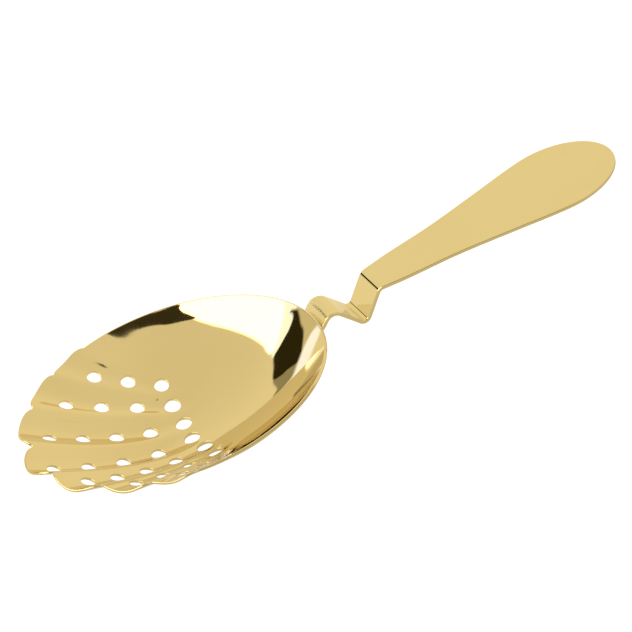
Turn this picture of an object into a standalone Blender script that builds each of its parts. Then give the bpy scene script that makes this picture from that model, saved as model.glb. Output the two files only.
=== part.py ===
"""Scalloped julep strainer: a fluted, perforated bowl with a bent strip handle welded behind its rim.

Everything is drawn in the rim frame, in millimetres: the origin is on the rim where the handle leaves
the bowl, +X runs out along the handle, +Z is the normal of the rim plane. A parent empty then tips the
whole strainer into the attitude in which it rests on a table, on the bowl's belly and the handle's end.
"""
import math

import bmesh
import bpy
from mathutils import Matrix, Vector

COLLECTION = "julep_strainer"
MM = 0.001
GAP = 0.3                      # air kept between pieces that touch on the real strainer

# Bowl: outline on the rim plane, then the pressed depth.
BOWL_CENTRE_X = -38.9
BOWL_REAR_LENGTH = 38.9        # from the deepest point to the rim at the handle
BOWL_FRONT_LENGTH = 36.0       # from the deepest point to the line of the rim notches
BOWL_HALF_WIDTH = 35.5
BOWL_DEPTH = 15.2
BOWL_SHEET = 0.9
REAR_POWER = 2.0               # how the depth grows from rim to middle: behind, beside and in the fan
SIDE_POWER = 1.05
FAN_POWER = 1.36
BELLY_SOFTNESS = 0.32          # rounds the deepest point
BOWL_SECTORS = 120
BOWL_RINGS = 11

# Fan of seven flutes. Angles are measured at the fan's origin, from the strainer's axis.
FAN_ORIGIN_X = -3.3
FLUTE_START = (29.0, 43.0)     # distances from the fan's origin between which the flutes fade in
FLUTE_GROWTH = (0.8, 0.8, 0.8, 2.0)        # how each flute deepens from there to the rim
NOTCH_ANGLES = (6.5, 18.5, 28.3, 36.9)
INNER_SPREAD = 1.13            # the ridges draw together by this ratio where the flutes begin
FLUTE_DEPTHS = (3.3, 2.2, 1.5, 0.9)        # middle flute first, then outwards on either side
LOBE_REACH = (4.1, 3.1, 1.9, 1.0)          # how far each lobe stands out past its notches
NOTCH_BEARINGS = (11.0, 35.8, 56.8, 75.0)  # the same notches, seen from the bowl's centre
RIDGE_SOFTNESS = 0.5           # rounds the ridges between the flutes

# Perforations, one row down each flute: fan angle, first distance, pitch along the sheet, count.
HOLE_ROWS = (
    (0.0, 35.3, 9.2, 5),
    (10.3, 35.1, 8.45, 5),
    (20.8, 36.4, 8.75, 4),
    (29.9, 38.5, 8.35, 3),
)
HOLE_RADIUS = 1.8
INNER_HOLE_RADIUS = 2.05       # the holes of the inner arc are a little larger
HOLE_SIDES = 16

# Handle strip: top face, seen from the side.
STRIP_SHEET = 1.0
PADDLE_SHEET = 0.9
TAB_LENGTH = 10.5              # the part welded to the outside of the bowl
ARCH_TOP = (3.8, 2.7)
VALLEY = (10.9, -5.5)
PADDLE_START = (16.5, 1.6)
PADDLE_END = (85.3, 2.9)
BEND_RADII = (3.0, 1.1, 1.5)   # arch, valley, start of the paddle
BEND_STEPS = 5
LIP_RISE = 0.4                 # straight rise out of the tab before the arch begins
NECK_HALF_WIDTH = 5.1
# Half widths of the paddle along X, up to its widest point; an elliptical end closes it.
PADDLE_OUTLINE = ((16.5, 5.1), (24.0, 6.4), (38.0, 8.1), (54.0, 11.3), (62.0, 13.0), (69.0, 13.9))
PADDLE_STATIONS = 12
END_STATIONS = 10
END_CLOSURE = 0.985            # share of the quarter ellipse that is drawn; a short flat closes it
THINNING_END = 0.3             # share of the paddle's length over which the sheet thins
TAB_STATIONS = 4
STRIP_COLUMNS = 8
FOLLOW_FADE = (1.0, 9.0)       # along X, where the strip stops following the round wall

# Weld plugs that join the tab to the bowl.
WELD_RADIUS = 1.3
WELD_DISTANCES = (3.6, 7.8)    # down the tab from the rim
WELD_CROWN = 0.35              # how far a plug stands out of the tab
WELD_SIDES = 16


# ---------------------------------------------------------------- bowl surface

def smoothstep(low, high, value):
    t = min(max((value - low) / (high - low), 0.0), 1.0)
    return t * t * (3.0 - 2.0 * t)


def notch_radius(bearing):
    """Distance from the bowl's centre to the rim, leaving the lobes out; bearing 0 faces the handle."""
    length = BOWL_REAR_LENGTH if math.cos(bearing) > 0.0 else BOWL_FRONT_LENGTH
    along = math.cos(bearing) / length
    across = math.sin(bearing) / BOWL_HALF_WIDTH
    return 1.0 / math.hypot(along, across)


def lobe_reach(bearing):
    """Extra reach of the scalloped rim at a bearing."""
    off_axis = 180.0 - abs(math.degrees(bearing))
    inner = -NOTCH_BEARINGS[0]
    for outer, reach in zip(NOTCH_BEARINGS, LOBE_REACH):
        if off_axis <= outer:
            across = (2.0 * off_axis - inner - outer) / (outer - inner)
            return reach * max(1.0 - across * across, 0.0) ** 0.7
        inner = outer
    return 0.0


def rim_radius(bearing):
    return notch_radius(bearing) + lobe_reach(bearing)


def fan_polar(x, y):
    return math.hypot(x - FAN_ORIGIN_X, y), math.degrees(math.atan2(abs(y), FAN_ORIGIN_X - x))


def flute_depth(x, y):
    """Depth of the flutes below the plain bowl; the last one runs out softly into the side wall."""
    distance, angle = fan_polar(x, y)
    bearing = math.atan2(y, x - BOWL_CENTRE_X)
    progress = min(math.hypot(x - BOWL_CENTRE_X, y) / notch_radius(bearing), 1.1)
    angle *= 1.0 + (INNER_SPREAD - 1.0) * (1.0 - min(progress, 1.0) ** 2)
    started = smoothstep(*FLUTE_START, distance)
    inner = -NOTCH_ANGLES[0]
    for outer, depth, growth in zip(NOTCH_ANGLES, FLUTE_DEPTHS, FLUTE_GROWTH):
        if angle <= outer:
            across = (2.0 * angle - inner - outer) / (outer - inner)
            arch = math.hypot(math.cos(0.5 * math.pi * across), RIDGE_SOFTNESS) - RIDGE_SOFTNESS
            arch /= math.hypot(1.0, RIDGE_SOFTNESS) - RIDGE_SOFTNESS
            if outer == NOTCH_ANGLES[-1] and across > 0.0:
                arch = math.cos(0.5 * math.pi * across) ** 2
            return depth * arch * progress ** growth * started
        inner = outer
    return 0.0


def bowl_height(x, y):
    """Height of the middle of the bowl's sheet above the rim plane."""
    bearing = math.atan2(y, x - BOWL_CENTRE_X)
    ratio = math.hypot(x - BOWL_CENTRE_X, y) / notch_radius(bearing)
    off_handle = abs(math.degrees(bearing))
    power = REAR_POWER + (SIDE_POWER - REAR_POWER) * smoothstep(70.0, 118.0, off_handle)
    power += (FAN_POWER - SIDE_POWER) * smoothstep(118.0, 180.0, off_handle)
    floor = BELLY_SOFTNESS ** power
    rise = (math.hypot(ratio, BELLY_SOFTNESS) ** power - floor)
    rise /= math.hypot(1.0, BELLY_SOFTNESS) ** power - floor
    return BOWL_DEPTH * (rise - 1.0) - flute_depth(x, y)


def bowl_normal(x, y):
    step = 0.2
    slope_x = (bowl_height(x + step, y) - bowl_height(x - step, y)) / (2.0 * step)
    slope_y = (bowl_height(x, y + step) - bowl_height(x, y - step)) / (2.0 * step)
    return Vector((-slope_x, -slope_y, 1.0)).normalized()


def hole_centres():
    """Plan position and radius of every perforation."""
    holes = []
    for angle, first, pitch, count in HOLE_ROWS:
        along_x = -math.cos(math.radians(angle))
        along_y = math.sin(math.radians(angle))
        distance = first
        for index in range(count):
            x = FAN_ORIGIN_X + along_x * distance
            y = along_y * distance
            radius = INNER_HOLE_RADIUS if index == 0 and angle < 25.0 else HOLE_RADIUS
            sides = (1.0,) if angle == 0.0 else (1.0, -1.0)
            for side in sides:
                holes.append((x, y * side, radius))
            ahead_x = x + along_x * 0.5 * pitch
            ahead_y = y + along_y * 0.5 * pitch
            slope = bowl_height(ahead_x + along_x, ahead_y + along_y) - bowl_height(ahead_x, ahead_y)
            distance += pitch / math.hypot(1.0, slope)
    return holes


# ---------------------------------------------------------------- handle profile

def rounded_path(corners, radii):
    """Points of a side profile whose inner corners are turned into arcs."""
    points = [corners[0]]
    for before, corner, after, radius in zip(corners, corners[1:], corners[2:], radii):
        inward = (before - corner).normalized()
        outward = (after - corner).normalized()
        half = 0.5 * inward.angle(outward)
        centre = corner + (inward + outward).normalized() * (radius / math.sin(half))
        start = corner + inward * (radius / math.tan(half)) - centre
        sweep = math.pi - 2.0 * half
        turn = math.copysign(1.0, inward.x * outward.y - inward.y * outward.x)
        for step in range(BEND_STEPS + 1):
            angle = -turn * sweep * step / BEND_STEPS
            cos, sin = math.cos(angle), math.sin(angle)
            points.append(centre + Vector((start.x * cos - start.y * sin, start.x * sin + start.y * cos)))
    points.append(corners[-1])
    return points


def outline_half_width(x):
    """Half width of the paddle: a smooth curve through the outline, then an elliptical end."""
    widest_x, widest = PADDLE_OUTLINE[-1]
    if x >= widest_x:
        along = (x - widest_x) / (PADDLE_END[0] - widest_x)
        return widest * math.sqrt(max(1.0 - along * along, 0.0))
    for index in range(len(PADDLE_OUTLINE) - 1):
        x0, w0 = PADDLE_OUTLINE[index]
        x1, w1 = PADDLE_OUTLINE[index + 1]
        if x <= x1:
            break
    t = (x - x0) / (x1 - x0)
    slope0 = outline_slope(index) * (x1 - x0)
    slope1 = outline_slope(index + 1) * (x1 - x0)
    return ((2 * t ** 3 - 3 * t ** 2 + 1) * w0 + (t ** 3 - 2 * t ** 2 + t) * slope0
            + (3 * t ** 2 - 2 * t ** 3) * w1 + (t ** 3 - t ** 2) * slope1)


def outline_slope(index):
    if index == len(PADDLE_OUTLINE) - 1:
        return 0.0
    x0, w0 = PADDLE_OUTLINE[max(index - 1, 0)]
    x1, w1 = PADDLE_OUTLINE[index + 1]
    return (w1 - w0) / (x1 - x0)


def tab_top(distance):
    """Point of the tab's upper face, a distance down the wall from the rim."""
    steps = 20
    x, z = 0.0, 0.0
    for _ in range(steps):
        slope = (bowl_height(x, 0.0) - bowl_height(x - 0.1, 0.0)) / 0.1
        run = distance / steps / math.hypot(1.0, slope)
        x -= run
        z = bowl_height(x, 0.0)
    normal = bowl_normal(x, 0.0)
    return Vector((x, z)) - Vector((normal.x, normal.z)) * (0.5 * BOWL_SHEET + GAP)


def strip_stations():
    """Stations along the handle's upper face: x, z, half width and share of the full sheet."""
    tab = [tab_top(TAB_LENGTH * step / TAB_STATIONS) for step in range(TAB_STATIONS, -1, -1)]
    rise = Vector((1.0, bowl_height(-0.2, 0.0) / -0.2)).normalized()
    corners = [tab[-1] + rise * LIP_RISE, Vector(ARCH_TOP), Vector(VALLEY), Vector(PADDLE_START),
               Vector(PADDLE_END)]
    neck = rounded_path(corners, BEND_RADII)[:-1]
    stations = [(point.x, point.y, NECK_HALF_WIDTH, 1.0) for point in tab + neck]
    start_x = neck[-1].x
    widest_x = PADDLE_OUTLINE[-1][0]
    spans = [start_x + (widest_x - start_x) * step / PADDLE_STATIONS
             for step in range(1, PADDLE_STATIONS + 1)]
    for step in range(1, END_STATIONS + 1):
        angle = 0.5 * math.pi * min(step / END_STATIONS, END_CLOSURE)
        spans.append(widest_x + (PADDLE_END[0] - widest_x) * math.sin(angle))
    for x in spans:
        along = (x - PADDLE_START[0]) / (PADDLE_END[0] - PADDLE_START[0])
        z = PADDLE_START[1] + along * (PADDLE_END[1] - PADDLE_START[1])
        share = 1.0 + (PADDLE_SHEET / STRIP_SHEET - 1.0) * smoothstep(0.0, THINNING_END, along)
        stations.append((x, z, outline_half_width(x), share))
    return stations


def strip_sag(x, y):
    """Forward shift that lets the tab follow the round wall of the bowl, fading out on the arch."""
    wall_radius = BOWL_HALF_WIDTH ** 2 / BOWL_REAR_LENGTH
    return -0.5 * y * y / wall_radius * (1.0 - smoothstep(*FOLLOW_FADE, x))


# ---------------------------------------------------------------- Blender objects

def clear_scene():
    for item in list(bpy.data.objects):
        bpy.data.objects.remove(item, do_unlink=True)


def make_collection(name):
    group = bpy.data.collections.new(name)
    bpy.context.scene.collection.children.link(group)
    return group


def make_material(name, colour, roughness):
    material = bpy.data.materials.new(name)
    material.use_nodes = True
    shader = material.node_tree.nodes["Principled BSDF"]
    shader.inputs["Base Color"].default_value = (*colour, 1.0)
    shader.inputs["Metallic"].default_value = 1.0
    shader.inputs["Roughness"].default_value = roughness
    return material


def object_from(bm, name, group, material=None):
    bmesh.ops.recalc_face_normals(bm, faces=bm.faces)
    mesh = bpy.data.meshes.new(name)
    bm.to_mesh(mesh)
    bm.free()
    if material:
        mesh.materials.append(material)
    item = bpy.data.objects.new(name, mesh)
    group.objects.link(item)
    return item


def cylinder_at(bm, centre, axis, radius, length, sides):
    turn = axis.to_track_quat("Z", "Y").to_matrix().to_4x4()
    bmesh.ops.create_cone(bm, cap_ends=True, segments=sides, radius1=radius, radius2=radius,
                          depth=length, matrix=Matrix.Translation(centre) @ turn)


def cut(item, cutter):
    modifier = item.modifiers.new("cut", "BOOLEAN")
    modifier.operation = "DIFFERENCE"
    modifier.solver = "EXACT"
    modifier.object = cutter
    cutter.display_type = "WIRE"
    cutter.hide_render = True


def solidify(item, thickness, offset, group=""):
    modifier = item.modifiers.new("sheet", "SOLIDIFY")
    modifier.thickness = thickness * MM
    modifier.offset = offset
    modifier.use_even_offset = True
    modifier.vertex_group = group
    return modifier


def build_hole_punches(group):
    bm = bmesh.new()
    for x, y, radius in hole_centres():
        centre = Vector((x, y, bowl_height(x, y))) * MM
        cylinder_at(bm, centre, bowl_normal(x, y), radius * MM, 4.0 * MM, HOLE_SIDES)
    return object_from(bm, "hole_punches", group)


def build_bowl(group, cutters):
    """A disc spun from one radial line, pressed to shape by moving its vertices."""
    bm = bmesh.new()
    line = [bm.verts.new((step / BOWL_RINGS, 0.0, 0.0)) for step in range(BOWL_RINGS + 1)]
    edges = [bm.edges.new(pair) for pair in zip(line, line[1:])]
    bmesh.ops.spin(bm, geom=line + edges, cent=(0, 0, 0), axis=(0, 0, 1), angle=math.tau,
                   steps=BOWL_SECTORS, use_merge=True)
    bmesh.ops.remove_doubles(bm, verts=bm.verts, dist=1e-5)
    for vertex in bm.verts:
        bearing = math.atan2(vertex.co.y, vertex.co.x)
        reach = rim_radius(bearing) * math.hypot(vertex.co.x, vertex.co.y)
        x = BOWL_CENTRE_X + reach * math.cos(bearing)
        y = reach * math.sin(bearing)
        vertex.co = Vector((x, y, bowl_height(x, y))) * MM
    bowl = object_from(bm, "strainer_bowl", group, make_material("gold_bowl", (0.86, 0.66, 0.30), 0.08))
    solidify(bowl, BOWL_SHEET, 0.0)
    cut(bowl, build_hole_punches(cutters))
    return bowl


def weld_axes():
    """Centre on the tab's upper face and outward direction of each weld plug."""
    axes = []
    for distance in WELD_DISTANCES:
        top = tab_top(distance)
        above = tab_top(distance - 0.5)
        below = tab_top(distance + 0.5)
        run = (above - below).normalized()
        axes.append((Vector((top.x, 0.0, top.y)), Vector((run.y, 0.0, -run.x))))
    return axes


def build_weld_holes(group):
    bm = bmesh.new()
    for top, outward in weld_axes():
        cylinder_at(bm, top * MM, outward, (WELD_RADIUS + GAP) * MM, 6.0 * MM, WELD_SIDES)
    return object_from(bm, "weld_holes", group)


def build_handle(group, cutters):
    """A flat grid bent along the side profile and widened into the paddle."""
    stations = strip_stations()
    bm = bmesh.new()
    bmesh.ops.create_grid(bm, x_segments=len(stations) - 1, y_segments=STRIP_COLUMNS, size=1.0)
    layer = bm.verts.layers.deform.verify()
    for vertex in bm.verts:
        index = round((vertex.co.x + 1.0) * 0.5 * (len(stations) - 1))
        x, z, half_width, share = stations[index]
        y = vertex.co.y * half_width
        vertex.co = Vector((x + strip_sag(x, y), y, z)) * MM
        vertex[layer][0] = share
    handle = object_from(bm, "handle", group, make_material("gold_handle", (0.86, 0.66, 0.30), 0.08))
    handle.vertex_groups.new(name="sheet_share")
    solidify(handle, STRIP_SHEET, -1.0, "sheet_share")
    cut(handle, build_weld_holes(cutters))
    return handle


def build_welds(group):
    """Two alike plugs of weld metal, one in each hole of the tab."""
    length = STRIP_SHEET + WELD_CROWN
    bm = bmesh.new()
    cylinder_at(bm, Vector((0, 0, 0)), Vector((0, 0, 1)), WELD_RADIUS * MM, length * MM, WELD_SIDES)
    first = object_from(bm, "spot_weld_1", group, make_material("gold_weld", (0.80, 0.62, 0.30), 0.3))
    second = bpy.data.objects.new("spot_weld_2", first.data)
    group.objects.link(second)
    for weld, (top, outward) in zip((first, second), weld_axes()):
        weld.location = (top + outward * (0.5 * length)) * MM
        weld.rotation_euler = outward.to_track_quat("Z", "Y").to_euler()
        bevel = weld.modifiers.new("crown", "BEVEL")
        bevel.width = 0.3 * MM
        bevel.segments = 2


def world_points(item):
    bpy.context.view_layer.update()
    shaped = item.evaluated_get(bpy.context.evaluated_depsgraph_get())
    mesh = shaped.to_mesh()
    points = [shaped.matrix_world @ vertex.co for vertex in mesh.vertices]
    shaped.to_mesh_clear()
    return points


def lowest(points, tilt):
    cos, sin = math.cos(tilt), math.sin(tilt)
    return min(point.z * cos - point.x * sin for point in points)


def rest_on_table(bowl, handle, pieces, cutters):
    """Tip the strainer until belly and handle end stand at one height, and centre it over the origin."""
    belly = world_points(bowl)
    strip = world_points(handle)
    low, high = 0.0, math.radians(20.0)
    for _ in range(50):
        tilt = 0.5 * (low + high)
        if lowest(strip, tilt) > lowest(belly, tilt):
            low = tilt
        else:
            high = tilt
    turn = Matrix.Rotation(tilt, 4, "Y")
    turned = [turn @ point for piece in pieces for point in world_points(piece)]
    spans = [(min(p[axis] for p in turned), max(p[axis] for p in turned)) for axis in range(3)]
    rest = bpy.data.objects.new("rest", None)
    bpy.context.scene.collection.objects.link(rest)
    rest.rotation_euler = (0.0, tilt, 0.0)
    rest.location = (-0.5 * sum(spans[0]), -0.5 * sum(spans[1]), -spans[2][0])
    for item in pieces + cutters:
        item.parent = rest
    bpy.context.view_layer.update()


def main():
    clear_scene()
    group = make_collection(COLLECTION)
    cutters = make_collection("cutters")
    bowl = build_bowl(group, cutters)
    handle = build_handle(group, cutters)
    build_welds(group)
    rest_on_table(bowl, handle, list(group.objects), list(cutters.objects))


main()
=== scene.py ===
"""Looks of the scalloped julep strainer: mirror-polished gold in a soft white studio.

The strainer is drawn in its rim frame, in millimetres (origin on the rim where the handle leaves the bowl,
+X along the handle, +Z the normal of the rim plane), and then set into the row frame by REST_TILT and
REST_ORIGIN. Both sheets are meshed finely from the same shape formulas, so that reflections stay smooth.
"""

import math

import bpy
import numpy as np
from mathutils import Matrix, Vector
from mathutils.geometry import delaunay_2d_cdt

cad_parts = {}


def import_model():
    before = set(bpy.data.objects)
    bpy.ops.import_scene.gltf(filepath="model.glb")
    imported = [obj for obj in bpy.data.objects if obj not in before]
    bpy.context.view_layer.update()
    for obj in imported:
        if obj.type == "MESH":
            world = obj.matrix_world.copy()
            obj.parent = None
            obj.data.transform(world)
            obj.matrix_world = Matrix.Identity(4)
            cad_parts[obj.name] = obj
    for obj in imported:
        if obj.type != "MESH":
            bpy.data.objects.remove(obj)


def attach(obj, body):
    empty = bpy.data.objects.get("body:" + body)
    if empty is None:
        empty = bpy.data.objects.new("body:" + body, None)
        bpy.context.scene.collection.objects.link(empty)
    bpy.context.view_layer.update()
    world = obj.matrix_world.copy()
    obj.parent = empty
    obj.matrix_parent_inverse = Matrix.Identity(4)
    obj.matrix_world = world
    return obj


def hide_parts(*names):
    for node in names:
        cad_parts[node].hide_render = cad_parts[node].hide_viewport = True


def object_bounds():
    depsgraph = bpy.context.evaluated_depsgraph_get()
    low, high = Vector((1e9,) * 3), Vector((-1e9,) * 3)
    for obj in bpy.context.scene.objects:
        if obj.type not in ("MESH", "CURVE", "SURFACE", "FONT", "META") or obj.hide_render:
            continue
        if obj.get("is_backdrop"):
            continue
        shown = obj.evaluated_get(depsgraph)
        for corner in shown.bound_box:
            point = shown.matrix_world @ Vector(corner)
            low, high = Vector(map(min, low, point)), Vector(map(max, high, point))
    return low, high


# Lengths are in millimetres and angles in degrees, unless a comment says otherwise.
MM = 0.001
REST_TILT = 8.331              # degrees about +Y, handle end down
REST_ORIGIN = (-3.120, 0.0, 10.381)
GAP = 0.3                      # air between the welded pieces

# Bowl
BOWL_CENTRE_X = -38.9
BOWL_REAR_LENGTH = 38.9
BOWL_FRONT_LENGTH = 36.0
BOWL_HALF_WIDTH = 35.5
BOWL_DEPTH = 15.2
BOWL_SHEET = 0.9
FAN_SHEET = 0.65               # the sheet is pressed thinner where the flutes stretch it
FAN_THINNING = (-8.0, 12.0)    # distances past the bowl's centre over which it thins
REAR_POWER = 2.0               # how the wall climbs from the middle to the rim: behind, beside, in the fan
SIDE_POWER = 1.05
FAN_POWER = 1.36
REAR_TO_SIDE = (70.0, 118.0)   # bearings off the handle between which the one passes into the other
SIDE_TO_FAN = (118.0, 180.0)
BELLY_SOFTNESS = 0.32
SLOPE_STEP = 0.12              # reach of the slope measured for a normal

# Fan of seven flutes
FAN_ORIGIN_X = -3.3
FLUTE_START = (29.0, 43.0)     # distances from the fan's origin between which the flutes fade in
FLUTE_GROWTH = (0.8, 0.8, 0.8, 2.0)    # how each flute deepens towards the rim, from the middle one out
NOTCH_ANGLES = (6.5, 18.5, 28.3, 36.9)
INNER_SPREAD = 1.13
FLUTE_DEPTHS = (3.3, 2.2, 1.5, 0.9)
LOBE_REACH = (4.1, 3.1, 1.9, 1.0)
LOBE_ROUNDNESS = 0.7
NOTCH_BEARINGS = (11.0, 35.8, 56.8, 75.0)
RIDGE_SOFTNESS = 0.5

# Holes: fan angle, first distance, pitch along the sheet, count
HOLE_ROWS = (
    (0.0, 35.3, 9.2, 5),
    (10.3, 35.1, 8.45, 5),
    (20.8, 36.4, 8.75, 4),
    (29.9, 38.5, 8.35, 3),
)
HOLE_RADIUS = 1.8
INNER_HOLE_RADIUS = 2.05       # first hole of the rows within WIDE_HOLE_ANGLE of the axis
WIDE_HOLE_ANGLE = 25.0

# Handle strip
STRIP_SHEET = 1.0
PADDLE_SHEET = 0.9
TAB_LENGTH = 10.5
ARCH_TOP = (3.8, 2.7)
VALLEY = (10.9, -5.5)
PADDLE_START = (16.5, 1.6)
PADDLE_END = (85.3, 2.9)
BEND_RADII = (3.0, 1.1, 2.7)
LIP_RISE = 0.4
RISE_REACH = 0.2               # how far inside the rim the wall's slope is taken for the arch's rise
NECK_HALF_WIDTH = 5.1
PADDLE_OUTLINE = ((16.5, 5.1), (24.0, 6.4), (38.0, 8.1), (54.0, 11.3), (62.0, 13.0), (69.0, 13.9))
THINNING_END = 0.3
FOLLOW_FADE = (1.0, 9.0)

# Welds
WELD_RADIUS = 1.3
WELD_DISTANCES = (3.6, 7.8)
WELD_CROWN = 0.35
WELD_REACH = 0.5               # half the run of wall that gives a weld its direction
BEAD_CHAMFER = 0.2
BEAD_SHOULDER = 0.1            # how far short of the tab's lower face the barrel ends

# Mesh density
EDGE_RADIUS = 0.28
HOLE_EDGE_RADIUS = 0.12
EDGE_STEPS = 5
BOWL_SPACING = 0.55
STRIP_SPACING = 0.5
RIM_POINTS = 900
HOLE_POINTS = 40
TAB_STEPS = 12
BEND_STEPS = 24
TIP_POINTS = 60
TAB_END_POINTS = 18
WELD_SIDES = 48
DOME_STEPS = 8
ROW_PITCH = 0.866              # of a triangular lattice, as a share of its spacing
EDGE_CLEARANCE = 0.6           # lattice points keep this share of the spacing from any edge
MERGE_DISTANCE = 1e-9          # plan points nearer than this are one

# Metal
PLATE = (0.755, 0.570, 0.232)
PLATE_WORN = (0.735, 0.548, 0.215)
# Painted light: the handle's two tones are the bowl's gold made a little lighter, so the handle shows
# brighter than the bowl.
LIGHTENED_HANDLE_PLATE = (0.774, 0.601, 0.251)
LIGHTENED_HANDLE_WORN = (0.754, 0.580, 0.233)
PAINTED_REFLECTION_TONE = (0.87, 0.84, 0.78)    # painted light: paler colour the metal takes in its reflections of itself, instead of its gold, so those reflections come out brighter
# painted light: the handle's paler colour in its reflections, paler still than the bowl's
HANDLE_PAINTED_REFLECTION_TONE = (0.97, 0.95, 0.90)
BEND_SPAN = (-0.001, 0.001)        # along X, in metres: the arch's rise is a little hazier than the rest
# Tone, worn tone, paler tone painted in for reflections (painted light), lowest and highest roughness,
# hairlines' stretch and depth (metres), bend haze.
FINISHES = {
    "gold_bowl": (PLATE, PLATE_WORN, PAINTED_REFLECTION_TONE, 0.015, 0.045, (1.0, 12.0, 1.0), 2e-6, 0.0),
    "gold_handle": (LIGHTENED_HANDLE_PLATE, LIGHTENED_HANDLE_WORN, HANDLE_PAINTED_REFLECTION_TONE, 0.03, 0.07, (0.06, 1.0, 1.0), 3e-6, 0.22),
    "gold_weld": (PLATE_WORN, PLATE, PAINTED_REFLECTION_TONE, 0.15, 0.3, (1.0, 1.0, 1.0), 2e-5, 0.0),
}
EDGE_TINT = (0.92, 0.85, 0.65)     # keeps the plate's colour at grazing angles
CLOUD_SCALE = 45.0                 # noise scales, per metre
HAZE_SCALE = 160.0
HAIRLINE_SCALE = 900.0
HAIRLINE_STRENGTH = 0.12

# Studio. Each card is an outline of (azimuth, elevation) corners in degrees, as the object sees it.
TABLE_HALF = 6.0               # in metres, as is its top, a hair under the strainer
TABLE_TOP = -0.0003
TABLE_GLOW = 1.15
TABLE_MIRRORED = (0.72, 1.05)  # the table as the metal mirrors it, in front of the strainer and behind it
TABLE_FADE = (-0.005, 0.02)    # where the table passes from the one to the other, along Y in metres
SURROUND_LOW = 1.03
SURROUND_HIGH = 0.90
SURROUND_SPAN = (0.4, 1.0)     # heights between which the surround dims, as the ray's Z
WHITE = (4.5, 4.4, 4.2)
CREAM = (1.35, 1.6, 2.9)
DIM = (0.62, 0.62, 0.60)
OLIVE = (0.36, 0.37, 0.34)
SPILL = (1.45, 1.72, 2.7)
SHADE = (0.80, 0.80, 0.78)
BROWN = (0.15, 0.13, 0.08)
UMBER = (0.045, 0.039, 0.025)
BLACK = (0.030, 0.026, 0.010)
# Name, outline, colour, distance in metres, and width of the soft border. A longer distance lies behind.
CARDS = (
    # Dim halves of the room on the near side: they tone the far wall.
    ("camera_left", ((-178, 8), (-178, 42), (-150, 46), (-100, 50), (-90, 50), (-90, 8)), DIM, 16.0, 6.0),
    ("camera_right", ((-92, 8), (-92, 50), (-50, 50), (-25, 44), (-10, 28), (-8, 8)), DIM, 16.0, 6.0),
    # The main light, and the paler light that spills past its lower edge.
    ("softbox", ((116.6, 41.0), (122.8, 47.3), (131.4, 54.8), (143, 62.5), (159.7, 69.5),
                 (-173.6, 74.6), (-142.7, 75.4), (-117, 72), (-122, 60), (-150, 48), (-180, 43),
                 (150, 44), (134, 43), (125, 41.5)), WHITE, 15.2, 1.0),
    ("softbox_spill", ((113.8, 37.7), (117.4, 41.6), (122.8, 47.3), (150, 50), (150, 39), (134, 36.5),
                       (125, 34.5), (118, 35)), SPILL, 20.0, 1.0),
    # Dark gap above the near side, which shows as the sliver along the far rim, and the shade below it.
    ("camera_gap", ((-143, 75.6), (-120, 76.1), (-97, 74.7), (-80, 71.7), (-67, 69.3), (-55, 67.4),
                    (-46, 66.2), (-37, 65.0), (-32, 64.0), (-29.5, 63.3), (-32, 63.5), (-45, 64.0),
                    (-63, 65.8), (-78, 67), (-104, 70), (-118, 70.8), (-116.5, 71.8), (-121, 73.3),
                    (-128, 74.2), (-135, 74.9)), UMBER, 14.4, 0.15),
    ("camera_shade", ((-112, 46), (-80, 44), (-52, 47), (-48, 55), (-60, 62), (-80, 65), (-104, 68),
                      (-118, 66), (-122, 56)), BROWN, 14.8, 1.5),
    # Under the softbox: a dim band, the dark hook by the neck, its olive foot and a strip of light.
    ("neck_dim", ((107, 17), (104, 15), (103, 24), (110, 30), (120, 32.5), (127, 34.5), (125, 31),
                  (121, 27), (113, 18)), SHADE, 14.4, 2.0),
    ("neck_gap", ((103, 15), (103, 22), (102.6, 26), (104, 28.6), (108.3, 33.0), (113.3, 37.3),
                  (116.5, 37.0), (119.5, 36.2), (121.5, 35.5), (125, 35.5), (128, 37.2), (129, 38.6),
                  (126.5, 35.2), (123.4, 32.9), (118.8, 29.6), (114.6, 25.5), (108.6, 20.5)),
     BLACK, 13.6, 0.8),
    ("neck_olive", ((102, 12), (95.5, 14), (98, 17), (101.5, 25), (103, 25), (103.4, 15)),
     OLIVE, 14.0, 0.8),
    ("neck_light", ((110.5, 18), (109, 14.4), (106.3, 12.2), (103.4, 10.5), (100.4, 8), (98, 8),
                    (99, 10.3), (102.3, 14.0), (105, 16.2), (108, 18)), CREAM, 12.8, 2.0),
)
FIRST_LOOK_ONLY = ("neck_gap", "camera_gap")    # cards too narrow to show again in second reflections
FIRST_LOOK = 1.5               # the ray depths up to which a card shows
EVERY_LOOK = 100.0

# Camera
CAMERA_PLACE = (-167.989, -936.710, 681.313)
CAMERA_AZIMUTH = -10.0265
CAMERA_ELEVATION = 35.2196
CAMERA_ROLL = -29.1392
CAMERA_LENS = 274.637
CAMERA_SENSOR = 36.0
CAMERA_CLIP = (0.05, 50.0)     # in metres


# ---------------------------------------------------------------- bowl formulas

def smoothstep(low, high, value):
    t = np.clip((value - low) / (high - low), 0.0, 1.0)
    return t * t * (3.0 - 2.0 * t)


def notch_radius(bearing):
    """Reach of the oval through the notches, from the bowl's centre."""
    length = np.where(np.cos(bearing) > 0.0, BOWL_REAR_LENGTH, BOWL_FRONT_LENGTH)
    return 1.0 / np.hypot(np.cos(bearing) / length, np.sin(bearing) / BOWL_HALF_WIDTH)


def lobe_reach(bearing):
    """How far the lobes stand out past that oval."""
    off_axis = 180.0 - np.abs(np.degrees(bearing))
    reach_here = np.zeros_like(off_axis)
    inner = -NOTCH_BEARINGS[0]
    for outer, reach in zip(NOTCH_BEARINGS, LOBE_REACH):
        across = (2.0 * off_axis - inner - outer) / (outer - inner)
        lobe = reach * np.maximum(1.0 - across * across, 0.0) ** LOBE_ROUNDNESS
        reach_here = np.where((off_axis > inner) & (off_axis <= outer), lobe, reach_here)
        inner = outer
    return reach_here


def rim_radius(bearing):
    return notch_radius(bearing) + lobe_reach(bearing)


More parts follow.
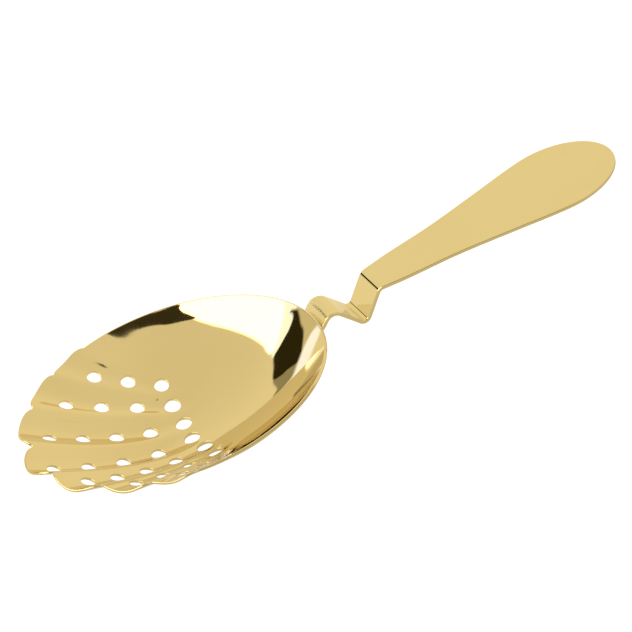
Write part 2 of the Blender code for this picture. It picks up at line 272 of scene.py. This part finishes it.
def flute_depth(x, y):
    """How far the flutes lie under the smooth bowl."""
    distance = np.hypot(x - FAN_ORIGIN_X, y)
    angle = np.degrees(np.arctan2(np.abs(y), FAN_ORIGIN_X - x))
    bearing = np.arctan2(y, x - BOWL_CENTRE_X)
    progress = np.hypot(x - BOWL_CENTRE_X, y) / notch_radius(bearing)
    angle = angle * (1.0 + (INNER_SPREAD - 1.0) * (1.0 - progress ** 2))
    started = smoothstep(*FLUTE_START, distance)
    crown = math.hypot(1.0, RIDGE_SOFTNESS) - RIDGE_SOFTNESS
    total = np.zeros_like(x)
    inner = -NOTCH_ANGLES[0]
    for outer, depth, growth in zip(NOTCH_ANGLES, FLUTE_DEPTHS, FLUTE_GROWTH):
        across = (2.0 * angle - inner - outer) / (outer - inner)
        arch = (np.hypot(np.cos(0.5 * np.pi * across), RIDGE_SOFTNESS) - RIDGE_SOFTNESS) / crown
        if outer == NOTCH_ANGLES[-1]:
            arch = np.where(across > 0.0, np.cos(0.5 * np.pi * across) ** 2, arch)
        inside = (angle > inner) & (angle <= outer)
        total = np.where(inside, depth * arch * progress ** growth * started, total)
        inner = outer
    return total


def bowl_height(x, y):
    """Height of the middle of the sheet over the rim plane."""
    x = np.asarray(x, float)
    y = np.asarray(y, float)
    bearing = np.arctan2(y, x - BOWL_CENTRE_X)
    ratio = np.hypot(x - BOWL_CENTRE_X, y) / notch_radius(bearing)
    off_handle = np.abs(np.degrees(bearing))
    power = REAR_POWER + (SIDE_POWER - REAR_POWER) * smoothstep(*REAR_TO_SIDE, off_handle)
    power = power + (FAN_POWER - SIDE_POWER) * smoothstep(*SIDE_TO_FAN, off_handle)
    floor = BELLY_SOFTNESS ** power
    rise = np.hypot(ratio, BELLY_SOFTNESS) ** power - floor
    rise = rise / (math.hypot(1.0, BELLY_SOFTNESS) ** power - floor)
    return BOWL_DEPTH * (rise - 1.0) - flute_depth(x, y)


def bowl_surface(plan):
    """Middle of the sheet and its upward normal over plan points."""
    x, y = plan[:, 0], plan[:, 1]
    reach = SLOPE_STEP
    slope_x = (bowl_height(x + reach, y) - bowl_height(x - reach, y)) / (2.0 * reach)
    slope_y = (bowl_height(x, y + reach) - bowl_height(x, y - reach)) / (2.0 * reach)
    normal = np.stack([-slope_x, -slope_y, np.ones_like(x)], 1)
    normal /= np.linalg.norm(normal, axis=1)[:, None]
    return np.stack([x, y, bowl_height(x, y)], 1), normal


def hole_loops():
    loops = []
    for angle, first, pitch, count in HOLE_ROWS:
        along = np.array([-math.cos(math.radians(angle)), math.sin(math.radians(angle))])
        distance = first
        for index in range(count):
            radius = INNER_HOLE_RADIUS if index == 0 and angle < WIDE_HOLE_ANGLE else HOLE_RADIUS
            centre = np.array([FAN_ORIGIN_X, 0.0]) + along * distance
            for side in ((1.0,) if angle == 0.0 else (1.0, -1.0)):
                loops.append(hole_loop(centre * (1.0, side), radius))
            ahead = centre + along * 0.5 * pitch
            slope = bowl_height(*(ahead + along)) - bowl_height(*ahead)
            distance += pitch / math.hypot(1.0, float(slope))
    return loops


def hole_loop(centre, radius):
    """Plan outline of a hole punched square through the sheet."""
    _, normal = bowl_surface(centre[None, :])
    turn = Vector(normal[0]).to_track_quat("Z", "Y").to_matrix()
    angles = np.linspace(0.0, math.tau, HOLE_POINTS, endpoint=False)
    ring = np.stack([np.cos(angles), np.sin(angles), np.zeros_like(angles)], 1) * radius
    return (ring @ np.array(turn).T)[:, :2] + centre


# ---------------------------------------------------------------- handle formulas

def rounded_path(corners, radii, steps):
    """A plane path through the corners, each inner one rounded by an arc."""
    points = [corners[0]]
    for before, corner, after, radius in zip(corners, corners[1:], corners[2:], radii):
        inward = (before - corner).normalized()
        outward = (after - corner).normalized()
        half = 0.5 * inward.angle(outward)
        centre = corner + (inward + outward).normalized() * (radius / math.sin(half))
        start = corner + inward * (radius / math.tan(half)) - centre
        turn = math.copysign(1.0, inward.x * outward.y - inward.y * outward.x)
        for step in range(steps + 1):
            angle = -turn * (math.pi - 2.0 * half) * step / steps
            cos, sin = math.cos(angle), math.sin(angle)
            points.append(centre + Vector((start.x * cos - start.y * sin, start.x * sin + start.y * cos)))
    points.append(corners[-1])
    return points


def tab_top(distance):
    """Point under the bowl's lower face, this far down the wall from the rim."""
    steps = 40
    reach = 0.1
    x, z = 0.0, 0.0
    for _ in range(steps):
        slope = float(bowl_height(x, 0.0) - bowl_height(x - reach, 0.0)) / reach
        x -= distance / steps / math.hypot(1.0, slope)
        z = float(bowl_height(x, 0.0))
    normal = bowl_surface(np.array([[x, 0.0]]))[1][0]
    return Vector((x - normal[0] * (0.5 * BOWL_SHEET + GAP), z - normal[2] * (0.5 * BOWL_SHEET + GAP)))


def outline_slope(index):
    """Slope of the outline at one of its points, level at the widest."""
    if index == len(PADDLE_OUTLINE) - 1:
        return 0.0
    x0, w0 = PADDLE_OUTLINE[max(index - 1, 0)]
    x1, w1 = PADDLE_OUTLINE[index + 1]
    return (w1 - w0) / (x1 - x0)


def outline_half_width(x):
    """Half the strip's width: even at the neck, a smooth curve along the paddle and an oval tip."""
    if x <= PADDLE_OUTLINE[0][0]:
        return NECK_HALF_WIDTH
    widest_x, widest = PADDLE_OUTLINE[-1]
    if x >= widest_x:
        along = (x - widest_x) / (PADDLE_END[0] - widest_x)
        return widest * math.sqrt(max(1.0 - along * along, 0.0))
    for index in range(len(PADDLE_OUTLINE) - 1):
        x0, w0 = PADDLE_OUTLINE[index]
        x1, w1 = PADDLE_OUTLINE[index + 1]
        if x <= x1:
            break
    t = (x - x0) / (x1 - x0)
    slope0 = outline_slope(index) * (x1 - x0)
    slope1 = outline_slope(index + 1) * (x1 - x0)
    return ((2 * t ** 3 - 3 * t ** 2 + 1) * w0 + (t ** 3 - 2 * t ** 2 + t) * slope0
            + (3 * t ** 2 - 2 * t ** 3) * w1 + (t ** 3 - t ** 2) * slope1)


class Strip:
    """Side profile of the handle's upper face, walked by distance."""

    def __init__(self):
        tab = [tab_top(TAB_LENGTH * step / TAB_STEPS) for step in range(TAB_STEPS, -1, -1)]
        rise = Vector((1.0, float(bowl_height(-RISE_REACH, 0.0)) / -RISE_REACH)).normalized()
        corners = [tab[-1] + rise * LIP_RISE, Vector(ARCH_TOP), Vector(VALLEY), Vector(PADDLE_START),
                   Vector(PADDLE_END)]
        path = np.array([tuple(p) for p in tab + rounded_path(corners, BEND_RADII, BEND_STEPS)])
        keep = np.r_[True, np.linalg.norm(np.diff(path, axis=0), axis=1) > 1e-6]
        path = path[keep]
        walk = np.r_[0.0, np.cumsum(np.linalg.norm(np.diff(path, axis=0), axis=1))]
        self.length = walk[-1]
        self.path = np.concatenate([2.0 * path[:1] - path[1:2], path, 2.0 * path[-1:] - path[-2:-1]])
        self.walk = np.r_[-walk[1], walk, 2.0 * walk[-1] - walk[-2]]

    def at(self, distance):
        return (np.interp(distance, self.walk, self.path[:, 0]),
                np.interp(distance, self.walk, self.path[:, 1]))

    def surface(self, plan):
        """Upper face and its normal over (distance, across) points."""
        distance, across = plan[:, 0], plan[:, 1]
        reach = 0.15
        x, z = self.at(distance)
        x1, z1 = self.at(distance + reach)
        x0, z0 = self.at(distance - reach)
        fade = 1.0 - smoothstep(*FOLLOW_FADE, x)
        wall_radius = BOWL_HALF_WIDTH ** 2 / BOWL_REAR_LENGTH
        sag = -0.5 * across ** 2 / wall_radius * fade
        along = np.stack([x1 - x0, np.zeros_like(x), z1 - z0], 1)
        side = np.stack([-across / wall_radius * fade, np.ones_like(x), np.zeros_like(x)], 1)
        normal = np.cross(along, side)
        normal /= np.linalg.norm(normal, axis=1)[:, None]
        return np.stack([x + sag, across, z], 1), normal


def strip_outline(strip):
    """Closed outline in (distance, across) space."""
    paddle = slice(-BEND_STEPS, None)
    widest_walk = float(np.interp(PADDLE_OUTLINE[-1][0], strip.path[paddle, 0], strip.walk[paddle]))
    distances = list(np.arange(0.0, widest_walk, STRIP_SPACING))
    span = strip.length - widest_walk
    distances += [widest_walk + span * math.sin(0.5 * math.pi * k / TIP_POINTS) for k in range(TIP_POINTS)]
    widths = [outline_half_width(float(strip.at(d)[0])) for d in distances]
    near = [(d, -w) for d, w in zip(distances, widths)]
    far = [(d, w) for d, w in zip(distances, widths)]
    start = [(0.0, -NECK_HALF_WIDTH + 2 * NECK_HALF_WIDTH * k / TAB_END_POINTS)
             for k in range(1, TAB_END_POINTS)]
    return np.array(near + [(strip.length, 0.0)] + far[::-1] + start[::-1])


def weld_seats(strip):
    """Centre on the tab's upper face and outward direction of each weld."""
    seats = []
    for distance in WELD_DISTANCES:
        top = tab_top(distance)
        run = (tab_top(distance - WELD_REACH) - tab_top(distance + WELD_REACH)).normalized()
        seats.append((TAB_LENGTH - distance, Vector((top.x, 0.0, top.y)), Vector((run.y, 0.0, -run.x))))
    return seats


# ---------------------------------------------------------------- sheet mesher

def loop_frame(surface, loop):
    """Edge points of a loop with sheet normal and direction out of the metal."""
    points, normals = surface(loop)
    tangent = np.roll(points, -1, 0) - np.roll(points, 1, 0)
    tangent /= np.linalg.norm(tangent, axis=1)[:, None]
    outward = np.cross(tangent, normals)
    outward /= np.linalg.norm(outward, axis=1)[:, None]
    return points, normals, outward


def signed_area(loop):
    x, y = loop[:, 0], loop[:, 1]
    return 0.5 * np.sum(x * np.roll(y, -1) - np.roll(x, -1) * y)


def inset_plan(surface, loop, outward, distance):
    """Moves a loop's plan points into the metal by a true distance."""
    step = 0.01
    base = surface(loop)[0]
    by_u = (surface(loop + (step, 0.0))[0] - base) / step
    by_v = (surface(loop + (0.0, step))[0] - base) / step
    move = -outward * distance
    uu, vv, uv = (by_u ** 2).sum(1), (by_v ** 2).sum(1), (by_u * by_v).sum(1)
    mu, mv = (by_u * move).sum(1), (by_v * move).sum(1)
    det = uu * vv - uv * uv
    return loop + np.stack([(mu * vv - mv * uv) / det, (mv * uu - mu * uv) / det], 1)


def inside_loop(points, loop):
    x, y = points[:, 0][:, None], points[:, 1][:, None]
    x0, y0 = loop[:, 0], loop[:, 1]
    x1, y1 = np.roll(x0, -1), np.roll(y0, -1)
    crosses = (y0 > y) != (y1 > y)
    with np.errstate(divide="ignore", invalid="ignore"):
        at = (x1 - x0) * (y - y0) / (y1 - y0) + x0
    return (crosses & (x < at)).sum(1) % 2 == 1


def clearance(points, loop):
    """Distance of each point from the loop's nearest corner."""
    nearest = np.full(len(points), 1e9)
    for corner in loop:
        nearest = np.minimum(nearest, np.hypot(*(points - corner).T))
    return nearest


def inner_points(loops, spacing):
    """Triangular lattice inside the first loop and outside the others, clear of their edges."""
    low, high = loops[0].min(0), loops[0].max(0)
    rows = np.arange(low[1], high[1], spacing * ROW_PITCH)
    lattice = []
    for index, row in enumerate(rows):
        xs = np.arange(low[0] + (index % 2) * 0.5 * spacing, high[0], spacing)
        lattice.append(np.stack([xs, np.full_like(xs, row)], 1))
    points = np.concatenate(lattice)
    points = points[inside_loop(points, loops[0])]
    points = points[clearance(points, loops[0]) > EDGE_CLEARANCE * spacing]
    for loop in loops[1:]:
        points = points[~inside_loop(points, loop)]
        points = points[clearance(points, loop) > EDGE_CLEARANCE * spacing]
    return points


def edge_profile(half, radius):
    """Offsets (out, up) and normals round the sheet's cut edge, from upper face to lower face."""
    profile = []
    for step in range(EDGE_STEPS + 1):
        angle = 0.5 * math.pi * step / EDGE_STEPS
        profile.append((radius * (math.sin(angle) - 1.0), half - radius * (1.0 - math.cos(angle)),
                        math.sin(angle), math.cos(angle)))
    profile += [(out, -up, nout, -nup) for out, up, nout, nup in reversed(profile)]
    return profile


def triangulated(insets, spacing):
    """Plan points, the triangles between the first loop and the others, and where each loop point went."""
    plan = np.concatenate(insets + [inner_points(insets, spacing)])
    edges, start = [], 0
    for loop in insets:
        count = len(loop)
        edges += [(start + k, start + (k + 1) % count) for k in range(count)]
        start += count
    out = delaunay_2d_cdt([Vector(p) for p in plan], edges, [], 0, MERGE_DISTANCE)
    plan, triangles = np.array([tuple(v) for v in out[0]]), np.array(out[2])
    index_of = {old: new for new, olds in enumerate(out[3]) for old in olds}
    centres = plan[triangles].mean(1)
    keep = inside_loop(centres, insets[0])
    for loop in insets[1:]:
        keep &= ~inside_loop(centres, loop)
    triangles = triangles[keep]
    first, second, third = (plan[triangles[:, k]] for k in range(3))
    across = np.cross(second - first, third - first)
    triangles[across < 0] = triangles[across < 0][:, ::-1]
    return plan, triangles, index_of


def edge_rings(frame, half, radius):
    """Rings of points and normals round a cut edge, between the edges of the upper and the lower face."""
    rim, up, outward = frame
    thinnest, thickest = half.min(), half.max()
    blend = ((half - thinnest) / max(thickest - thinnest, MERGE_DISTANCE))[:, None]
    profiles = zip(edge_profile(thinnest, radius), edge_profile(thickest, radius))
    for low, high in list(profiles)[1:-1]:
        out, rise, normal_out, normal_up = ((np.array(low) + (np.array(high) - low) * blend)[:, k:k + 1]
                                            for k in range(4))
        yield rim + outward * out + up * rise, outward * normal_out + up * normal_up


def sheet_mesh(name, surface, loops, spacing, half_sheet):
    """Closed mesh of a thin sheet: both faces from one triangulation, rounded edges round every loop."""
    loops = [loop if (signed_area(loop) > 0) == (k == 0) else loop[::-1] for k, loop in enumerate(loops)]
    frames = [loop_frame(surface, loop) for loop in loops]
    radii = [EDGE_RADIUS] + [HOLE_EDGE_RADIUS] * (len(loops) - 1)
    insets = [inset_plan(surface, loop, frame[2], radius)
              for loop, frame, radius in zip(loops, frames, radii)]
    plan, triangles, index_of = triangulated(insets, spacing)
    middle, normal = surface(plan)
    half = half_sheet(plan)[:, None]
    points = [middle + normal * half, middle - normal * half]
    normals = [normal, -normal]
    count = len(plan)
    faces = [tuple(f) for f in triangles] + [tuple(f[::-1] + count) for f in triangles]
    total, start = 2 * count, 0
    for loop, radius, frame in zip(loops, radii, frames):
        size = len(loop)
        top = [index_of[start + k] for k in range(size)]
        start += size
        rings = [top]
        for ring_points, ring_normals in edge_rings(frame, half_sheet(loop), radius):
            points.append(ring_points)
            normals.append(ring_normals)
            rings.append(list(range(total, total + size)))
            total += size
        rings.append([index + count for index in top])
        for ring, after in zip(rings, rings[1:]):
            faces += [(ring[k], after[k], after[(k + 1) % size], ring[(k + 1) % size]) for k in range(size)]
    return make_mesh(name, np.concatenate(points), np.concatenate(normals), faces)


def rest_turn():
    return np.array(Matrix.Rotation(math.radians(REST_TILT), 3, "Y"))


def at_rest(points):
    """Points of the rim frame, in metres, as the strainer lies on the table."""
    return (points @ rest_turn().T + np.array(REST_ORIGIN)) * MM


def linked(name, mesh):
    item = bpy.data.objects.new(name, mesh)
    bpy.context.scene.collection.objects.link(item)
    return item


def make_mesh(name, points, normals, faces):
    """A smooth mesh at rest that shades by the normals given."""
    mesh = bpy.data.meshes.new(name)
    mesh.from_pydata(at_rest(points).tolist(), [], [tuple(int(i) for i in f) for f in faces])
    mesh.validate()
    mesh.shade_smooth()
    shown = normals @ rest_turn().T
    shown /= np.linalg.norm(shown, axis=1)[:, None]
    mesh.normals_split_custom_set_from_vertices(shown.tolist())
    return linked(name, mesh)


# ---------------------------------------------------------------- pieces

def bowl_half_sheet(plan):
    """Half the bowl's thickness over plan points."""
    thinned = smoothstep(*FAN_THINNING, BOWL_CENTRE_X - plan[:, 0])
    return 0.5 * (BOWL_SHEET + (FAN_SHEET - BOWL_SHEET) * thinned)


def build_bowl():
    bearings = np.linspace(-math.pi, math.pi, RIM_POINTS, endpoint=False)
    radii = rim_radius(bearings)
    rim = np.stack([BOWL_CENTRE_X + radii * np.cos(bearings), radii * np.sin(bearings)], 1)
    return sheet_mesh("polished_bowl", bowl_surface, [rim] + hole_loops(), BOWL_SPACING, bowl_half_sheet)


def build_handle(strip):
    def half_sheet(plan):
        x = strip.at(plan[:, 0])[0]
        along = (x - PADDLE_START[0]) / (PADDLE_END[0] - PADDLE_START[0])
        share = 1.0 + (PADDLE_SHEET / STRIP_SHEET - 1.0) * smoothstep(0.0, THINNING_END, along)
        return 0.5 * STRIP_SHEET * share

    def middle(plan):
        top, normal = strip.surface(plan)
        return top - normal * half_sheet(plan)[:, None], normal

    angles = np.linspace(0.0, math.tau, WELD_SIDES, endpoint=False)
    ring = np.stack([np.cos(angles), np.sin(angles)], 1) * (WELD_RADIUS + GAP)
    holes = [ring + (walk, 0.0) for walk, _, _ in weld_seats(strip)]
    return sheet_mesh("polished_handle", middle, [strip_outline(strip)] + holes, STRIP_SPACING, half_sheet)


def build_weld(name, top, outward):
    """A fused bead: a short barrel through the tab under a low dome, closed at both ends."""
    profile = [(WELD_RADIUS - BEAD_CHAMFER, 0.0), (WELD_RADIUS, BEAD_CHAMFER),
               (WELD_RADIUS, STRIP_SHEET - BEAD_SHOULDER)]
    for step in range(DOME_STEPS):
        angle = math.radians(90.0) * step / DOME_STEPS
        profile.append((WELD_RADIUS * math.cos(angle), STRIP_SHEET + WELD_CROWN * math.sin(angle)))
    sides = WELD_SIDES
    points = [(radius * math.cos(math.tau * k / sides), radius * math.sin(math.tau * k / sides), height)
              for radius, height in profile for k in range(sides)]
    faces = []
    for ring in range(len(profile) - 1):
        low, high = ring * sides, (ring + 1) * sides
        faces += [(low + k, low + (k + 1) % sides, high + (k + 1) % sides, high + k) for k in range(sides)]
    crown, last = len(points), (len(profile) - 1) * sides
    points.append((0.0, 0.0, STRIP_SHEET + WELD_CROWN))
    faces += [(last + k, last + (k + 1) % sides, crown) for k in range(sides)]
    faces.append(tuple(range(sides - 1, -1, -1)))
    turn = np.array(outward.to_track_quat("Z", "Y").to_matrix())
    placed = np.array(points) @ turn.T + np.array(top)
    mesh = bpy.data.meshes.new(name)
    mesh.from_pydata(at_rest(placed).tolist(), [], faces)
    mesh.shade_smooth()
    return linked(name, mesh)


# ---------------------------------------------------------------- looks

def node_material(name):
    material = bpy.data.materials.new(name)
    material.use_nodes = True
    return material, material.node_tree.nodes, material.node_tree.links


def noise(nodes, links, coordinates, scale, detail=3.0, stretch=(1.0, 1.0, 1.0)):
    """Noise over object space, stretched along an axis where asked."""
    mapping = nodes.new("ShaderNodeMapping")
    mapping.inputs["Scale"].default_value = stretch
    links.new(coordinates.outputs["Object"], mapping.inputs["Vector"])
    texture = nodes.new("ShaderNodeTexNoise")
    texture.inputs["Scale"].default_value = scale
    texture.inputs["Detail"].default_value = detail
    links.new(mapping.outputs["Vector"], texture.inputs["Vector"])
    return texture.outputs["Fac"]


def ramp(nodes, links, value, low, high, from_low=0.3, from_high=0.7):
    """Maps a noise value to a number between low and high."""
    span = nodes.new("ShaderNodeMapRange")
    span.inputs["From Min"].default_value = from_low
    span.inputs["From Max"].default_value = from_high
    span.inputs["To Min"].default_value = low
    span.inputs["To Max"].default_value = high
    links.new(value, span.inputs["Value"])
    return span.outputs["Result"]


def mix_colour(nodes, links, factor, first, second):
    mix = nodes.new("ShaderNodeMix")
    mix.data_type = "RGBA"
    links.new(factor, mix.inputs["Factor"])
    for socket, colour in ((mix.inputs[6], first), (mix.inputs[7], second)):
        if isinstance(colour, tuple):
            socket.default_value = (*colour, 1.0)
        else:
            links.new(colour, socket)
    return mix.outputs[2]


def maths(nodes, links, operation, first, second):
    """Result of a Math node; each operand is a number or an output."""
    node = nodes.new("ShaderNodeMath")
    node.operation = operation
    for socket, value in zip(node.inputs, (first, second)):
        if isinstance(value, float):
            socket.default_value = value
        else:
            links.new(value, socket)
    return node.outputs[0]


def gold(name, plate, worn, painted_reflection_tone, rough_low, rough_high, hairline_stretch, hairline_depth,
         bend_haze):
    """Mirror-polished gold plate: slight shifts of tone, hairlines from polishing, faint haze, and a paler
    colour painted in where the metal is seen in reflections, which brightens them as painted light.
    """
    material, nodes, links = node_material(name)
    shader = nodes["Principled BSDF"]
    shader.inputs["Metallic"].default_value = 1.0
    shader.inputs["Specular Tint"].default_value = (*EDGE_TINT, 1.0)
    place = nodes.new("ShaderNodeTexCoord")
    cloud = ramp(nodes, links, noise(nodes, links, place, CLOUD_SCALE), 0.0, 1.0)
    tone = mix_colour(nodes, links, cloud, plate, worn)
    # Painted light: rays that are not camera rays see the paler tone, so the metal's reflections of itself
    # are brightened.
    path = nodes.new("ShaderNodeLightPath")
    first_look = path.outputs["Is Camera Ray"]
    links.new(mix_colour(nodes, links, first_look, painted_reflection_tone, tone), shader.inputs["Base Color"])
    haze = ramp(nodes, links, noise(nodes, links, place, HAZE_SCALE, 4.0), rough_low, rough_high)
    split = nodes.new("ShaderNodeSeparateXYZ")
    links.new(place.outputs["Object"], split.inputs["Vector"])
    bent = ramp(nodes, links, split.outputs["X"], bend_haze, 0.0, *BEND_SPAN)
    links.new(maths(nodes, links, "ADD", haze, bent), shader.inputs["Roughness"])
    hairlines = noise(nodes, links, place, HAIRLINE_SCALE, 2.0, hairline_stretch)
    bump = nodes.new("ShaderNodeBump")
    bump.inputs["Strength"].default_value = HAIRLINE_STRENGTH
    bump.inputs["Distance"].default_value = hairline_depth
    links.new(hairlines, bump.inputs["Height"])
    links.new(bump.outputs["Normal"], shader.inputs["Normal"])
    return material


def build_floor():
    mesh = bpy.data.meshes.new("light_table")
    square = ((-1, -1), (1, -1), (1, 1), (-1, 1))
    mesh.from_pydata([(x * TABLE_HALF, y * TABLE_HALF, TABLE_TOP) for x, y in square], [], [(0, 1, 2, 3)])
    item = linked("light_table", mesh)
    material, nodes, links = node_material("table_white")
    nodes.remove(nodes["Principled BSDF"])
    glow = nodes.new("ShaderNodeEmission")
    place = nodes.new("ShaderNodeTexCoord")
    split = nodes.new("ShaderNodeSeparateXYZ")
    links.new(place.outputs["Object"], split.inputs["Vector"])
    mirrored = ramp(nodes, links, split.outputs["Y"], *TABLE_MIRRORED, *TABLE_FADE)
    path = nodes.new("ShaderNodeLightPath")
    level = nodes.new("ShaderNodeMix")
    links.new(path.outputs["Is Camera Ray"], level.inputs["Factor"])
    links.new(mirrored, level.inputs[2])
    level.inputs[3].default_value = TABLE_GLOW
    links.new(level.outputs[0], glow.inputs["Strength"])
    links.new(glow.outputs[0], nodes["Material Output"].inputs["Surface"])
    mesh.materials.append(material)
    item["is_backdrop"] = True


def direction(azimuth, elevation):
    a, e = math.radians(azimuth), math.radians(elevation)
    return Vector((math.cos(a) * math.cos(e), math.sin(a) * math.cos(e), math.sin(e)))


def to_map(ray):
    """Stereographic map of the sky, zenith in the middle and horizon at radius 1."""
    return Vector((ray.x, ray.y)) / (1.0 + ray.z)


def from_map(point):
    square = point.length_squared
    return Vector((2.0 * point.x, 2.0 * point.y, 1.0 - square)) / (1.0 + square)


def smooth_outline(corners, steps=6):
    """Closed Catmull-Rom curve through the corners."""
    result = []
    count = len(corners)
    for k in range(count):
        p0, p1, p2, p3 = (corners[(k + shift) % count] for shift in (-1, 0, 1, 2))
        for step in range(steps):
            t = step / steps
            result.append(0.5 * (2.0 * p1 + (p2 - p0) * t + (2.0 * p0 - 5.0 * p1 + 4.0 * p2 - p3) * t ** 2
                                 + (3.0 * p1 - p0 - 3.0 * p2 + p3) * t ** 3))
    return result


def grown(outline, amount):
    """A plane outline that runs anticlockwise, moved outwards by an amount."""
    result = []
    for before, here, after in zip(outline[-1:] + outline[:-1], outline, outline[1:] + outline[:1]):
        run = (after - before).normalized()
        result.append(here + Vector((run.y, -run.x)) * amount)
    return result


def card_material(name, glow_colour):
    """Even glow or shade that fades out where the card's cover does."""
    material, nodes, links = node_material(name)
    nodes.remove(nodes["Principled BSDF"])
    glow = nodes.new("ShaderNodeEmission")
    glow.inputs["Color"].default_value = (*glow_colour, 1.0)
    clear = nodes.new("ShaderNodeBsdfTransparent")
    fade = nodes.new("ShaderNodeAttribute")
    fade.attribute_name = "cover"
    path = nodes.new("ShaderNodeLightPath")
    last_look = FIRST_LOOK if name in FIRST_LOOK_ONLY else EVERY_LOOK
    in_time = maths(nodes, links, "LESS_THAN", path.outputs["Ray Depth"], last_look)
    mix = nodes.new("ShaderNodeMixShader")
    links.new(maths(nodes, links, "MULTIPLY", fade.outputs["Fac"], in_time), mix.inputs["Fac"])
    links.new(clear.outputs[0], mix.inputs[1])
    links.new(glow.outputs[0], mix.inputs[2])
    links.new(mix.outputs[0], nodes["Material Output"].inputs["Surface"])
    return material


def build_card(name, outline, glow_colour, distance, soft):
    """A flat card of light or shade hung beside the object, fading out over a soft border."""
    rays = [direction(*corner) for corner in outline]
    axis = sum(rays, Vector()).normalized()
    flat = smooth_outline([to_map(ray) for ray in rays])
    area = sum(p.x * q.y - q.x * p.y for p, q in zip(flat, flat[1:] + flat[:1]))
    if area < 0.0:
        flat.reverse()
    rings = [flat, grown(flat, 0.5 * math.radians(soft))]
    count = len(flat)
    hung = [from_map(point) for ring in rings for point in ring]
    vertices = [ray * (distance / ray.dot(axis)) for ray in hung]
    faces = [(k, (k + 1) % count, (k + 1) % count + count, k + count) for k in range(count)]
    mesh = bpy.data.meshes.new(name)
    mesh.from_pydata(vertices, [], faces + [tuple(range(count))])
    cover = mesh.attributes.new("cover", "FLOAT", "POINT")
    cover.data.foreach_set("value", [1.0] * count + [0.0] * count)
    mesh.materials.append(card_material(name, glow_colour))
    item = linked(name, mesh)
    item.visible_camera = False
    item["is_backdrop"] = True


def build_world():
    """Soft white surround, a little dimmer straight above than near the horizon."""
    world = bpy.data.worlds.new("studio")
    bpy.context.scene.world = world
    world.use_nodes = True
    nodes, links = world.node_tree.nodes, world.node_tree.links
    place = nodes.new("ShaderNodeTexCoord")
    split = nodes.new("ShaderNodeSeparateXYZ")
    links.new(place.outputs["Generated"], split.inputs["Vector"])
    level = ramp(nodes, links, split.outputs["Z"], SURROUND_LOW, SURROUND_HIGH, *SURROUND_SPAN)
    links.new(level, nodes["Background"].inputs["Strength"])
    nodes["Background"].inputs["Color"].default_value = (1.0, 1.0, 1.0, 1.0)


def build_camera():
    azimuth, elevation = math.radians(CAMERA_AZIMUTH), math.radians(CAMERA_ELEVATION)
    back = Vector((math.sin(azimuth) * math.cos(elevation), -math.cos(azimuth) * math.cos(elevation),
                   math.sin(elevation)))
    data = bpy.data.cameras.new("camera")
    camera = bpy.data.objects.new("camera", data)
    bpy.context.scene.collection.objects.link(camera)
    level_right = Vector((math.cos(azimuth), math.sin(azimuth), 0.0))
    level_up = back.cross(level_right)
    roll = math.radians(CAMERA_ROLL)
    right = level_right * math.cos(roll) + level_up * math.sin(roll)
    up = back.cross(right)
    turn = Matrix((right, up, back)).transposed()
    camera.matrix_world = Matrix.Translation(Vector(CAMERA_PLACE) * MM) @ turn.to_4x4()
    data.lens = CAMERA_LENS
    data.sensor_width = CAMERA_SENSOR
    data.clip_start, data.clip_end = CAMERA_CLIP
    bpy.context.scene.camera = camera


def colour_management():
    scene = bpy.context.scene
    scene.view_settings.view_transform = "Standard"
    scene.view_settings.look = "None"


def corners(box):
    return [list(box[0]), list(box[1])]


def main():
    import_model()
    cad_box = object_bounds()
    strip = Strip()
    bowl = build_bowl()
    handle = build_handle(strip)
    welds = [build_weld(f"weld_bead_{k + 1}", top, outward)
             for k, (_, top, outward) in enumerate(weld_seats(strip))]
    pieces = [(bowl, "strainer_bowl", "gold_bowl"), (handle, "handle", "gold_handle"),
              (welds[0], "spot_weld_1", "gold_weld"), (welds[1], "spot_weld_2", "gold_weld")]
    looks = {name: gold(name, *values) for name, values in FINISHES.items()}
    for item, node, slot in pieces:
        item.data.materials.append(looks[slot])
        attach(item, "root")
        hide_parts(node)
    build_floor()
    for card in CARDS:
        build_card(*card)
    build_world()
    build_camera()
    colour_management()
    corners(cad_box)
    corners(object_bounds())


main()
